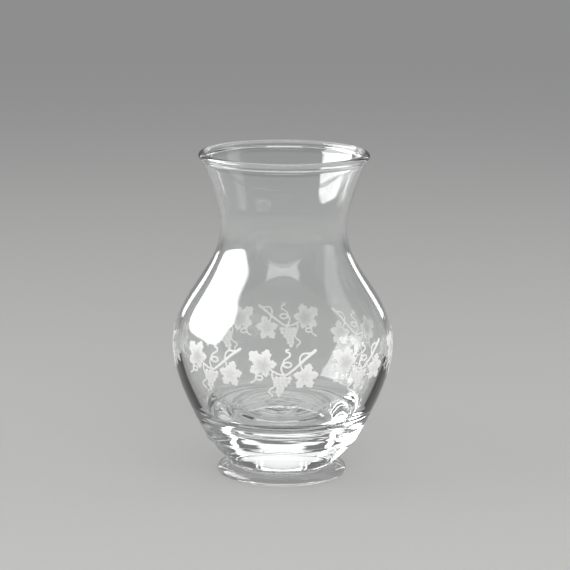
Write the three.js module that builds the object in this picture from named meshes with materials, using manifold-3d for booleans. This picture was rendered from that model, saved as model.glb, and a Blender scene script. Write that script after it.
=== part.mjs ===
// A clear glass bud vase: flared lip, short neck, round body and a thick solid base on a pinched foot.
// Eight grape-vine sprigs of fired white enamel stand round the widest part of the body.
// Lengths are millimetres and +Z is up. The origin is the centre of the foot, on the surface it stands on.
// Azimuth 0 is the front, at -Y, and azimuth grows towards +X.
import * as THREE from "three";
import { mergeVertices } from "three/addons/utils/BufferGeometryUtils.js";
import Module from "manifold-3d";

const wasm = await Module();
wasm.setup();

// Outside of the glass, from the foot up. A lean is the radius gained per millimetre of height. The flare
// ends under the bead, at shares of the bead's radius from its centre.
const FOOT_RADIUS = 24.1;
const FOOT_EDGE_RADIUS = 1.2;
const FOOT_RING_WIDTH = 5.4;
const FOOT_THICKNESS = 3.9;
const PUNT_RISE = 0.5;
const WAIST_RADIUS = 18.6;
const UNDERCUT_LEAN = 0.9;
const HEEL_RADIUS = 27.7;
const HEEL_HEIGHT = 13;
const HEEL_LEAN = 0.56;
const BODY_RADIUS = 40.6;
const BODY_HEIGHT = 48.7;
const NECK_RADIUS = 23.5;
const NECK_HEIGHT = 91.3;
const LIP_RADIUS = 31.35;
const VASE_HEIGHT = 120;
const BEAD_RADIUS = 1.42;
const BEAD_TURN = { outer: -0.36 * Math.PI, inner: 1.06 * Math.PI };
const UNDER_BEAD = { in: 1 / 3, down: 2 };

// Inside of the glass. The wall is thicker at the floor than at the widest part.
const WALL = 2;
const LOW_WALL = 4;
const FLOOR_HEIGHT = 23;
const FLOOR_RADIUS = 22.5;
const FLOOR_CORNER_HEIGHT = 3;

// How full the curves are: each share is a handle's length against the height that its curve climbs
const UNDERCUT_FULLNESS = { low: 0.34, lowReach: 0.44, high: 0.15 };
const LOWER_BODY_FULLNESS = { low: 0.35, high: 0.3 };
const SHOULDER_FULLNESS = { low: 0.438, high: 0.374 };
const FLARE_FULLNESS = { low: 0.364, high: 0.335, highReach: 0.51 };
const FLOOR_CORNER_FULLNESS = { wall: 0.6, floor: 0.45 };
const PUNT_EASE = { radius: 0.6, rise: 0.7 };

// Enamel of the sprigs and where they stand: the lowest point of each vine lies just below the widest part
const ENAMEL_THICKNESS = 0.25;
const ENAMEL_CLEARANCE = 0.3;
const BAND_DROP = 2;
const SPRIG_GAP = 1.76;
const SPRIG_AZIMUTHS = [0.6, 44.2, 88, 134, 177.7, 215.4, 266, 321.4];

// Lines and leaves of a sprig, before it is brought to the size that fits the body
const VINE_WIDTH = 1;
const VINE_TAPER = { tip: 0.6, cutEnd: 1.15 };
const TENDRIL_WIDTH = 0.7;
const BROAD_LEAF_LENGTH = 6.9;
const SMALL_LEAF_LENGTH = 4.9;
const TOOTH_LINE = [
  [0.62, -0.25], [0.76, -0.32], [0.84, -0.19], [1, 0], [0.84, 0.19], [0.76, 0.32], [0.62, 0.25],
];

// Grape cluster of a sprig: rows from the top, each set a little further left than the one above
const GRAPE_RADIUS = 0.87;
const GRAPE_ROWS = [4, 4, 3, 2, 2, 1];
const GRAPE_SPACING = { across: 1.78, down: 1.46, lean: 0.35 };
const CLUSTER_TOP = [-0.2, -2];

// Arc of a grape that shows at the cluster's edge, in degrees from one side to the other, and its steps
const GRAPE_ARCS = {
  right: { from: 33, to: -62, steps: 2 },
  lowest: { from: 33, to: -215, steps: 5 },
  left: { from: 213, to: 150, steps: 2 },
  top: { from: 140, to: 40, steps: 2 },
};

// Steps of the round surfaces
const TURN_STEPS = 48;
const STEPS = {
  footEdge: 2, footTop: 4, undercut: 4, lowerBody: 6, shoulder: 8, flare: 5, bead: 8, floorCorner: 3,
};
const INSIDE_STEPS = { lowerBody: 5, shoulder: 7, flare: 4 };
const VINE_STEPS = 8;
const ROUND_STEPS = 5;
const LONGEST_FACET = 5;
const HALVINGS = 30;
const WELD_DISTANCE = 1e-4;

const glass = new THREE.MeshStandardMaterial({
  color: 0xeef4f3,
  roughness: 0.03,
  metalness: 0,
  transparent: true,
  opacity: 0.35,
});
const enamel = new THREE.MeshStandardMaterial({ color: 0xf1f1ec, roughness: 0.6, metalness: 0 });

// The outer wall in three curves, as radius against height: heel to widest part, to neck, to lip.
const heel = new THREE.Vector2(HEEL_RADIUS, HEEL_HEIGHT);
const widest = new THREE.Vector2(BODY_RADIUS, BODY_HEIGHT);
const neck = new THREE.Vector2(NECK_RADIUS, NECK_HEIGHT);
const beadCentre = new THREE.Vector2(LIP_RADIUS - BEAD_RADIUS, VASE_HEIGHT - BEAD_RADIUS);
const underBead = new THREE.Vector2(
  beadCentre.x - UNDER_BEAD.in * BEAD_RADIUS, beadCentre.y - UNDER_BEAD.down * BEAD_RADIUS,
);
const bodyRise = widest.y - heel.y;
const shoulderRise = neck.y - widest.y;
const lipRise = underBead.y - neck.y;
const lipFlare = underBead.x - neck.x;
const bandHeight = widest.y - BAND_DROP;

const lowerHandle = LOWER_BODY_FULLNESS.low * bodyRise;
const lowerBody = new THREE.CubicBezierCurve(
  heel,
  new THREE.Vector2(heel.x + HEEL_LEAN * lowerHandle, heel.y + lowerHandle),
  new THREE.Vector2(widest.x, widest.y - LOWER_BODY_FULLNESS.high * bodyRise),
  widest,
);
const shoulder = new THREE.CubicBezierCurve(
  widest,
  new THREE.Vector2(widest.x, widest.y + SHOULDER_FULLNESS.low * shoulderRise),
  new THREE.Vector2(neck.x, neck.y - SHOULDER_FULLNESS.high * shoulderRise),
  neck,
);
const flare = new THREE.CubicBezierCurve(
  neck,
  new THREE.Vector2(neck.x, neck.y + FLARE_FULLNESS.low * lipRise),
  new THREE.Vector2(
    underBead.x - FLARE_FULLNESS.highReach * lipFlare, underBead.y - FLARE_FULLNESS.high * lipRise,
  ),
  underBead,
);

// The point at a share of a curve, moved inwards by a distance square to it.
function insetPoint(curve, share, distance) {
  const at = curve.getPoint(share);
  const along = curve.getTangent(share);
  return new THREE.Vector2(at.x - along.y * distance, at.y + along.x * distance);
}

function inset(curve, steps, distance) {
  return Array.from({ length: steps + 1 }, (_, i) => insetPoint(curve, i / steps, distance));
}

// The share, from 0 to 1, at which a height that rises with the share reaches a level.
function shareAtHeight(heightAt, level) {
  let low = 0;
  let high = 1;
  for (let i = 0; i < HALVINGS; i += 1) {
    const middle = (low + high) / 2;
    if (heightAt(middle) < level) {
      low = middle;
    } else {
      high = middle;
    }
  }
  return low;
}

// Foot: punt, flat ring, rounded edge, and a rounded top that runs in to the waist.
function footProfile() {
  const ringOuter = FOOT_RADIUS - FOOT_EDGE_RADIUS;
  const ringInner = ringOuter - FOOT_RING_WIDTH;
  const edge = new THREE.EllipseCurve(
    ringOuter, FOOT_EDGE_RADIUS, FOOT_EDGE_RADIUS, FOOT_EDGE_RADIUS, -Math.PI / 2, 0,
  );
  const top = new THREE.EllipseCurve(
    WAIST_RADIUS, FOOT_EDGE_RADIUS, FOOT_RADIUS - WAIST_RADIUS, FOOT_THICKNESS - FOOT_EDGE_RADIUS,
    0, Math.PI / 2,
  );
  return [
    new THREE.Vector2(0, PUNT_RISE),
    new THREE.Vector2(ringInner * PUNT_EASE.radius, PUNT_RISE * PUNT_EASE.rise),
    new THREE.Vector2(ringInner, 0),
    ...edge.getPoints(STEPS.footEdge),
    ...top.getPoints(STEPS.footTop).slice(1),
  ];
}

// Undercut from the waist to the heel, where it meets the body in a soft edge.
function undercutProfile() {
  const rise = heel.y - FOOT_THICKNESS;
  const reach = heel.x - WAIST_RADIUS;
  const handle = UNDERCUT_FULLNESS.high * rise;
  const curve = new THREE.CubicBezierCurve(
    new THREE.Vector2(WAIST_RADIUS, FOOT_THICKNESS),
    new THREE.Vector2(
      WAIST_RADIUS + UNDERCUT_FULLNESS.lowReach * reach, FOOT_THICKNESS + UNDERCUT_FULLNESS.low * rise,
    ),
    new THREE.Vector2(heel.x - UNDERCUT_LEAN * handle, heel.y - handle),
    heel,
  );
  return curve.getPoints(STEPS.undercut).slice(1);
}

// Round bead of the lip, from its outer side over the top to its inner side.
function beadProfile() {
  const arc = new THREE.EllipseCurve(
    beadCentre.x, beadCentre.y, BEAD_RADIUS, BEAD_RADIUS, BEAD_TURN.outer, BEAD_TURN.inner,
  );
  return arc.getPoints(STEPS.bead);
}

// Inside of the wall below the widest part: it follows the outside, and the wall thickens towards the floor.
function lowerInside() {
  const insideAt = (share) => {
    const depth = (BODY_HEIGHT - lowerBody.getPoint(share).y) / (BODY_HEIGHT - FLOOR_HEIGHT);
    return insetPoint(lowerBody, share, WALL + (LOW_WALL - WALL) * depth);
  };
  const end = shareAtHeight((share) => insideAt(share).y, FLOOR_HEIGHT + FLOOR_CORNER_HEIGHT);
  const steps = INSIDE_STEPS.lowerBody;
  return Array.from({ length: steps }, (_, i) => insideAt(1 - ((1 - end) * (i + 1)) / steps));
}

// Rounded corner between the wall and the flat floor.
function floorCorner(foot, above) {
  const lean = (above.x - foot.x) / (above.y - foot.y);
  const floorEdge = new THREE.Vector2(FLOOR_RADIUS, FLOOR_HEIGHT);
  const handle = FLOOR_CORNER_FULLNESS.wall * (foot.y - floorEdge.y);
  const curve = new THREE.CubicBezierCurve(
    foot,
    new THREE.Vector2(foot.x - lean * handle, foot.y - handle),
    new THREE.Vector2(floorEdge.x + FLOOR_CORNER_FULLNESS.floor * (foot.x - floorEdge.x), floorEdge.y),
    floorEdge,
  );
  return curve.getPoints(STEPS.floorCorner).slice(1);
}

// Inside of the glass, from under the bead down to the middle of the floor.
function insideProfile() {
  const shoulderInside = inset(shoulder, INSIDE_STEPS.shoulder, WALL);
  const flareInside = inset(flare, INSIDE_STEPS.flare, WALL).slice(1);
  const wall = [...[...shoulderInside, ...flareInside].reverse(), ...lowerInside()];
  const [above, foot] = wall.slice(-2);
  return [...wall, ...floorCorner(foot, above), new THREE.Vector2(0, FLOOR_HEIGHT)];
}

function glassBody() {
  const profile = [
    ...footProfile(),
    ...undercutProfile(),
    ...lowerBody.getPoints(STEPS.lowerBody).slice(1),
    ...shoulder.getPoints(STEPS.shoulder).slice(1),
    ...flare.getPoints(STEPS.flare).slice(1),
    ...beadProfile(),
    ...insideProfile(),
  ];
  const mesh = new THREE.Mesh(new THREE.LatheGeometry(profile, TURN_STEPS), glass);
  mesh.name = "glass_body";
  mesh.rotation.x = Math.PI / 2;
  return mesh;
}

// Outer radius of the wall and its lean (radius gained per millimetre of height) at a height of the band.
function wallAt(height) {
  const curve = height < widest.y ? lowerBody : shoulder;
  const share = shareAtHeight((at) => curve.getPoint(at).y, height);
  const along = curve.getTangent(share);
  return { radius: curve.getPoint(share).x, lean: along.x / along.y };
}

// A closed mesh as a solid that can be joined to others.
function solidOf(geometry) {
  geometry.deleteAttribute("normal");
  geometry.deleteAttribute("uv");
  const merged = mergeVertices(geometry, WELD_DISTANCE);
  return new wasm.Manifold(
    new wasm.Mesh({
      numProp: 3,
      vertProperties: merged.getAttribute("position").array,
      triVerts: new Uint32Array(merged.index.array),
    }),
  );
}

// A sprig is drawn flat first: x runs round the body to the right, y up, z out through the enamel.
// Its origin is the lowest point of the vine.
function flatSolid(shape) {
  const extrusion = { depth: ENAMEL_THICKNESS, bevelEnabled: false, curveSegments: ROUND_STEPS };
  return solidOf(new THREE.ExtrudeGeometry(shape, extrusion));
}

// A line through points, whose width runs evenly from its start to its end.
function stroke(points, steps, startWidth, endWidth) {
  const line = new THREE.SplineCurve(points.map(([x, y]) => new THREE.Vector2(x, y)));
  const left = [];
  const right = [];
  for (let i = 0; i <= steps; i += 1) {
    const share = i / steps;
    const at = line.getPoint(share);
    const along = line.getTangent(share);
    const half = (startWidth + (endWidth - startWidth) * share) / 2;
    left.push(new THREE.Vector2(at.x - along.y * half, at.y + along.x * half));
    right.push(new THREE.Vector2(at.x + along.y * half, at.y - along.x * half));
  }
  return flatSolid(new THREE.Shape([...left, ...right.reverse()]));
}

// The closed loop that a tendril makes.
function loop({ centre, reach }) {
  const half = TENDRIL_WIDTH / 2;
  const ring = new THREE.Shape();
  ring.absellipse(...centre, reach[0] + half, reach[1] + half, 0, 2 * Math.PI, false);
  const inside = new THREE.Path();
  inside.absellipse(...centre, reach[0] - half, reach[1] - half, 0, 2 * Math.PI, true);
  ring.holes.push(inside);
  return flatSolid(ring);
}

// A five-lobed leaf round its heart. A lobe has its turn from the leaf's axis, its reach, and the notch that
// follows it, the last two as shares of the leaf's length. The teeth of a lobe are shares of its reach.
function leaf({ heart, axis, length, lobes }) {
  const points = [];
  const place = (degrees, distance, across) => {
    const turn = THREE.MathUtils.degToRad(degrees);
    points.push(
      new THREE.Vector2(
        heart[0] + distance * Math.cos(turn) - across * Math.sin(turn),
        heart[1] + distance * Math.sin(turn) + across * Math.cos(turn),
      ),
    );
  };
  lobes.forEach(([turn, share, notch], i) => {
    const reach = length * share;
    TOOTH_LINE.forEach(([along, across]) => place(axis + turn, along * reach, across * reach));
    const [nextTurn] = lobes[(i + 1) % lobes.length];
    const gap = (nextTurn - turn + 360) % 360;
    place(axis + turn + gap / 2, notch * length, 0);
  });
  return flatSolid(new THREE.Shape(points));
}

// The cluster's outline follows the end grapes down the right side, round the lowest one and up the left
// side, and then the top row.
function cluster() {
  const across = GRAPE_SPACING.across * GRAPE_RADIUS;
  const down = GRAPE_SPACING.down * GRAPE_RADIUS;
  const points = [];
  const scallop = (x, y, { from, to, steps }) => {
    const arc = new THREE.EllipseCurve(
      x, y, GRAPE_RADIUS, GRAPE_RADIUS, THREE.MathUtils.degToRad(from), THREE.MathUtils.degToRad(to), true,
    );
    points.push(...arc.getPoints(steps));
  };
  const rows = GRAPE_ROWS.map((count, row) => ({
    middle: CLUSTER_TOP[0] - GRAPE_SPACING.lean * GRAPE_RADIUS * row,
    y: CLUSTER_TOP[1] - down * row,
    reach: (across * (count - 1)) / 2,
  }));
  const lowest = rows.pop();
  rows.forEach(({ middle, y, reach }) => scallop(middle + reach, y, GRAPE_ARCS.right));
  scallop(lowest.middle, lowest.y, GRAPE_ARCS.lowest);
  rows.reverse().forEach(({ middle, y, reach }) => scallop(middle - reach, y, GRAPE_ARCS.left));
  const top = rows[rows.length - 1];
  for (let i = 0; i < GRAPE_ROWS[0]; i += 1) {
    scallop(top.middle - top.reach + across * i, top.y, GRAPE_ARCS.top);
  }
  return flatSolid(new THREE.Shape(points));
}

// Where the parts of a sprig lie. The tendrils make loops on their way.
function sprigDrawing() {
  const broadHeart = [-7.15, 2.7];
  const smallHeart = [7.85, -1.4];
  return {
    vine: [
      broadHeart, [-5.2, 1.4], [-3.15, 0.26], [-1.4, -0.5], [0.5, -0.7], [2, 0], [5.8, 3.2], [8, 5.2],
      [11.6, 7.85],
    ],
    tendrils: [
      {
        steps: 7,
        course: [
          smallHeart, [6.7, 0.9], [6.2, 2.45], [5.75, 4], [6, 5.8], [7.15, 6.9], [8.7, 6.95], [10.3, 6.95],
        ],
      },
      {
        steps: 11,
        course: [
          [0, -0.6], [-0.75, 1.05], [-0.8, 2.3], [-0.15, 3.7], [0.1, 4.55], [1.1, 5.35], [2.2, 6.15],
          [2.05, 7.2], [1.05, 7.6], [0.85, 8.2], [1.7, 8.4],
        ],
      },
      {
        steps: 6,
        course: [
          broadHeart, [-8.2, 0.45], [-9.5, -0.5], [-10, -1.75], [-10.3, -3], [-11.1, -3.6], [-12, -4.1],
        ],
      },
      {
        steps: 9,
        course: [
          [-3.9, 0.5], [-4.1, -1.1], [-3.6, -2.7], [-3.3, -4], [-3.4, -5.2], [-4.6, -6.1], [-5.5, -6.9],
          [-5.2, -7.7], [-4.3, -8.3], [-4.15, -9],
        ],
      },
      { steps: 2, course: [[0.4, -0.6], [-0.2, -2], [-0.6, -3.2]] },
    ],
    loops: [
      { centre: [1.35, 3], reach: [1.4, 0.91] },
      { centre: [-8.75, -2], reach: [1.2, 0.84] },
    ],
    leaves: [
      {
        heart: broadHeart,
        axis: 140,
        length: BROAD_LEAF_LENGTH,
        lobes: [[0, 1, 0.53], [68, 0.8, 0.36], [143, 0.62, 0.42], [228, 0.66, 0.44], [297, 0.83, 0.58]],
      },
      {
        heart: smallHeart,
        axis: -60,
        length: SMALL_LEAF_LENGTH,
        lobes: [[0, 1, 0.58], [68, 0.96, 0.6], [132, 1, 0.52], [229, 0.88, 0.58], [295, 1.02, 0.6]],
      },
    ],
  };
}

function flatSprig() {
  const { vine, tendrils, loops, leaves } = sprigDrawing();
  const solids = [
    stroke(vine, VINE_STEPS, VINE_TAPER.tip * VINE_WIDTH, VINE_TAPER.cutEnd * VINE_WIDTH),
    ...leaves.map(leaf),
    ...tendrils.map(({ course, steps }) => stroke(course, steps, TENDRIL_WIDTH, TENDRIL_WIDTH)),
    ...loops.map(loop),
    cluster(),
  ];
  return solids.reduce((joined, next) => joined.add(next));
}

// Splits each triangle edge that is longer than the limit at its middle, so that a bent sheet stays off the
// round glass under it. Both triangles at an edge get the same new point, which keeps the solid closed.
function splitLongEdges(vertices, triangles, limit) {
  let faces = triangles;
  for (;;) {
    const middles = new Map();
    const middleOf = (a, b) => {
      if (vertices[a].distanceTo(vertices[b]) <= limit) {
        return -1;
      }
      const key = a < b ? `${a},${b}` : `${b},${a}`;
      if (!middles.has(key)) {
        middles.set(key, vertices.length);
        vertices.push(vertices[a].clone().lerp(vertices[b], 0.5));
      }
      return middles.get(key);
    };
    const next = [];
    for (const [a, b, c] of faces) {
      const ring = [a, middleOf(a, b), b, middleOf(b, c), c, middleOf(c, a)];
      const corners = ring.filter((corner) => corner >= 0);
      if (corners.length === 3) {
        next.push([a, b, c]);
      } else if (corners.length === 6) {
        next.push([ring[0], ring[1], ring[5]], [ring[1], ring[2], ring[3]], [ring[3], ring[4], ring[5]]);
        next.push([ring[1], ring[3], ring[5]]);
      } else {
        const start = ring.findIndex((corner, i) => i % 2 === 1 && corner >= 0);
        const turned = [...ring.slice(start), ...ring.slice(0, start)].filter((corner) => corner >= 0);
        for (let i = 1; i < turned.length - 1; i += 1) {
          next.push([turned[0], turned[i], turned[i + 1]]);
        }
      }
    }
    faces = next;
    if (middles.size === 0) {
      return faces;
    }
  }
}

// Narrowest spacing of two neighbouring sprigs, in degrees.
function narrowestSpacing() {
  const spacings = SPRIG_AZIMUTHS.map((azimuth, i) => {
    const following = SPRIG_AZIMUTHS[(i + 1) % SPRIG_AZIMUTHS.length];
    return (following - azimuth + 360) % 360;
  });
  return Math.min(...spacings);
}

// The flat sprig at the size that leaves the gap between the two closest neighbours on the widest part.
function sizedSprig() {
  const flat = flatSprig();
  const box = flat.boundingBox();
  const room = THREE.MathUtils.degToRad(narrowestSpacing()) * BODY_RADIUS - SPRIG_GAP;
  const scale = room / (box.max[0] - box.min[0]);
  const mesh = flat.getMesh();
  const vertices = [];
  for (let i = 0; i < mesh.numVert; i += 1) {
    const [x, y, z] = mesh.vertProperties.subarray(i * mesh.numProp, i * mesh.numProp + 3);
    vertices.push(new THREE.Vector3(x * scale, y * scale, z));
  }
  const triangles = [];
  for (let i = 0; i < mesh.triVerts.length; i += 3) {
    triangles.push([...mesh.triVerts.subarray(i, i + 3)]);
  }
  return { vertices, faces: splitLongEdges(vertices, triangles, LONGEST_FACET) };
}

// A sprig laid on the body at an azimuth, square to the wall at every point.
function sprig(number, azimuth, { vertices, faces }) {
  const positions = vertices.flatMap((point) => {
    const wall = wallAt(bandHeight + point.y);
    const turn = THREE.MathUtils.degToRad(azimuth) + point.x / BODY_RADIUS;
    const proud = ENAMEL_CLEARANCE + point.z;
    const slant = Math.hypot(1, wall.lean);
    const radius = wall.radius + proud / slant;
    const height = bandHeight + point.y - (proud * wall.lean) / slant;
    return [radius * Math.sin(turn), -radius * Math.cos(turn), height];
  });
  const geometry = new THREE.BufferGeometry();
  geometry.setAttribute("position", new THREE.Float32BufferAttribute(positions, 3));
  geometry.setIndex(faces.flat());
  geometry.computeVertexNormals();
  const mesh = new THREE.Mesh(geometry, enamel.clone());
  mesh.name = `vine_sprig_${number}`;
  return mesh;
}

const vase = new THREE.Group();
vase.add(glassBody());
const sprigShape = sizedSprig();
SPRIG_AZIMUTHS.forEach((azimuth, i) => vase.add(sprig(i + 1, azimuth, sprigShape)));

export default vase;
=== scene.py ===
"""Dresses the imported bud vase: clear fire-polished glass with a band of fired white grape-vine sprigs.

Sizes in the dataclasses are millimetres, as in the part's source, unless a name or comment says metres.
Meshes are made in metres, in the part's frame: +Z is up, azimuth 0 is the front at -Y, and azimuth grows
towards +X.
"""
import logging
import math
from dataclasses import dataclass
from enum import Enum
from typing import Sequence

import bpy
import numpy as np
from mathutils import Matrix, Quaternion, Vector


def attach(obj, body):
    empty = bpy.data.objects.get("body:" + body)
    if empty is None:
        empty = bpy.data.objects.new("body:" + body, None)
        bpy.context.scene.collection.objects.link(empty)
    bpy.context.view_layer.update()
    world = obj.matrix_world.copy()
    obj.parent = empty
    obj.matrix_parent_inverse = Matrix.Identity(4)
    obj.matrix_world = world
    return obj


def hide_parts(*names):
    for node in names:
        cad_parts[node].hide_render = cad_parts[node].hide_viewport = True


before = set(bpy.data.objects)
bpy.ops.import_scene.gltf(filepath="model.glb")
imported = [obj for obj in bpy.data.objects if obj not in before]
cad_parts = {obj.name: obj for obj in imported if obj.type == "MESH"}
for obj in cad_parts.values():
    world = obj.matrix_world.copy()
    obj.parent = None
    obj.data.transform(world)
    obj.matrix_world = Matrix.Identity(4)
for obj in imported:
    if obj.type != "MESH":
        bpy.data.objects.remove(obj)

LOG = logging.getLogger("bud_vase")
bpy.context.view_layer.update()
MM = 0.001
MILLILITRE = 1e-6
TINY = 1e-6
IMAGE_SIDE = 570
SENSOR_WIDTH = 36.0
CLIP_RANGE = (0.01, 50.0)
LAMP_AIM = Vector((0, 0, 0.06))
BISECTIONS = 30

Point = tuple[float, float]
Colour = tuple[float, float, float]
Profile = list[Point]
Socket = bpy.types.NodeSocket


def direction(azimuth: float, elevation: float) -> Vector:
    """Unit vector from the vase towards an azimuth and elevation.

    Args:
        azimuth: degrees round the vase, 0 at the front and growing to +X.
        elevation: degrees above the horizon.

    Returns:
        The direction.
    """
    turn, rise = math.radians(azimuth), math.radians(elevation)
    return Vector((math.sin(turn) * math.cos(rise), -math.cos(turn) * math.cos(rise), math.sin(rise)))


def soft_step(value: float, low: float, high: float) -> float:
    """0 up to low, 1 from high on, and an even rise with soft ends between them."""
    share = min(1.0, max(0.0, (value - low) / (high - low)))
    return share * share * (3 - 2 * share)


def arc(centre: Point, reach: Point, start: float, end: float, steps: int) -> Profile:
    """Points on an ellipse.

    Args:
        centre: its centre.
        reach: its half width and half height.
        start: first angle in degrees, counted from the right.
        end: last angle in degrees.
        steps: number of steps.

    Returns:
        The points, both ends included.
    """
    turns = [math.radians(start + (end - start) * i / steps) for i in range(steps + 1)]
    return [(centre[0] + reach[0] * math.cos(t), centre[1] + reach[1] * math.sin(t)) for t in turns]


@dataclass(frozen=True)
class Bezier:
    """A cubic curve in the profile plane, radius against height."""

    start: Point
    leave: Point
    arrive: Point
    end: Point

    def weighed(self, weights: Sequence[float]) -> Point:
        """The sum of the four corners, each times its weight."""
        corners = (self.start, self.leave, self.arrive, self.end)
        return tuple(sum(w * corner[axis] for w, corner in zip(weights, corners)) for axis in (0, 1))

    def at(self, share: float) -> Point:
        """The point at a share of the curve."""
        rest = 1 - share
        return self.weighed((rest**3, 3 * share * rest**2, 3 * share**2 * rest, share**3))

    def along(self, share: float) -> Point:
        """The tangent at a share of the curve.

        Args:
            share: 0 at the start and 1 at the end.

        Returns:
            A unit vector.
        """
        rest = 1 - share
        dx, dy = self.weighed(
            (-3 * rest**2, 3 * rest**2 - 6 * share * rest, 6 * share * rest - 3 * share**2, 3 * share**2)
        )
        length = math.hypot(dx, dy)
        return dx / length, dy / length

    def beside(self, share: float, distance: float) -> Point:
        """The point at a share of a climbing curve, moved square to it, towards the axis."""
        (x, y), (dx, dy) = self.at(share), self.along(share)
        return x - dy * distance, y + dx * distance

    def points(self, steps: int, start: float = 0.0, end: float = 1.0) -> Profile:
        """Evenly stepped points between two shares of the curve, both included."""
        return [self.at(start + (end - start) * i / steps) for i in range(steps + 1)]

    def inset(self, steps: int, distance: float) -> Profile:
        """Evenly stepped points of the curve, moved square to it, towards the axis."""
        return [self.beside(i / steps, distance) for i in range(steps + 1)]


class InputKind(Enum):
    """Kinds of input that a node group takes."""

    GEOMETRY = "NodeSocketGeometry"
    FLOAT = "NodeSocketFloat"
    WHOLE = "NodeSocketInt"
    OBJECT = "NodeSocketObject"
    MATERIAL = "NodeSocketMaterial"


class NodeTree:
    """A tree whose nodes are added, set and fed in one call."""

    def __init__(self, tree: bpy.types.NodeTree) -> None:
        """Takes the tree to fill."""
        self.tree = tree

    def node(
        self, kind: str, sockets: dict[int | str, object] | None = None, **settings: object
    ) -> bpy.types.Node:
        """Adds a node, sets it and feeds its inputs.

        Args:
            kind: the node's type.
            sockets: for each input, by name or number, a socket to link or a value to set.
            settings: the node's own properties.

        Returns:
            The node.
        """
        made = self.tree.nodes.new(kind)
        for name, value in settings.items():
            setattr(made, name, value)
        for key, value in (sockets or {}).items():
            if isinstance(value, Socket):
                self.tree.links.new(value, made.inputs[key])
            else:
                made.inputs[key].default_value = value
        return made

    def math(self, operation: str, *values: object) -> Socket:
        """The result of a Math node, fed with a socket or a number for each input."""
        return self.node("ShaderNodeMath", dict(enumerate(values)), operation=operation).outputs[0]

    def vector(self, operation: str, first: object, second: object = None) -> Socket:
        """The result of a Vector Math node.

        Args:
            operation: the operation's name.
            first: the first vector.
            second: the second vector, or the factor of a scaling.

        Returns:
            The result's socket: a number for a length or a dot product, and else a vector.
        """
        sockets = {0: first}
        if second is not None:
            sockets["Scale" if operation == "SCALE" else 1] = second
        made = self.node("ShaderNodeVectorMath", sockets, operation=operation)
        return made.outputs["Value" if operation in ("LENGTH", "DOT_PRODUCT") else "Vector"]

    def join(self, x: object, y: object, z: object) -> Socket:
        """A vector of three numbers."""
        return self.node("ShaderNodeCombineXYZ", {0: x, 1: y, 2: z}).outputs[0]

    def split(self, vector: Socket) -> tuple[Socket, Socket, Socket]:
        """The three numbers of a vector."""
        return tuple(self.node("ShaderNodeSeparateXYZ", {0: vector}).outputs)

    def ramp(
        self, value: Socket, start: object = 0.0, end: object = 1.0, low: object = 0.0, high: object = 1.0,
        shape: str = "LINEAR",
    ) -> Socket:
        """A number that runs from low to high while the value runs from start to end.

        Args:
            value: what drives it.
            start: the value that gives low, as do those before it.
            end: the value that gives high, as do those beyond it.
            low: a socket or number.
            high: a socket or number.
            shape: the interpolation between them.

        Returns:
            The number's socket.
        """
        sockets = {"Value": value, "From Min": start, "From Max": end, "To Min": low, "To Max": high}
        return self.node("ShaderNodeMapRange", sockets, interpolation_type=shape).outputs["Result"]

    def noise(
        self, place: Socket, scale: object, seed: object, detail: float = 1.0, roughness: float = 0.5
    ) -> Socket:
        """Smooth noise from 0 to 1.

        Args:
            place: where it is read.
            scale: how many waves go to one unit of the place.
            seed: which pattern.
            detail: how many finer layers it has.
            roughness: how strong the finer layers are.

        Returns:
            The noise's socket.
        """
        sockets = {"Vector": place, "W": seed, "Scale": scale, "Detail": detail, "Roughness": roughness}
        return self.node("ShaderNodeTexNoise", sockets, noise_dimensions="4D").outputs[0]

    def swing(self, value: Socket, spread: object) -> Socket:
        """A number from 0 to 1 as one that swings by half the spread to either side of 0."""
        return self.math("MULTIPLY", self.math("SUBTRACT", value, 0.5), spread)


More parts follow.
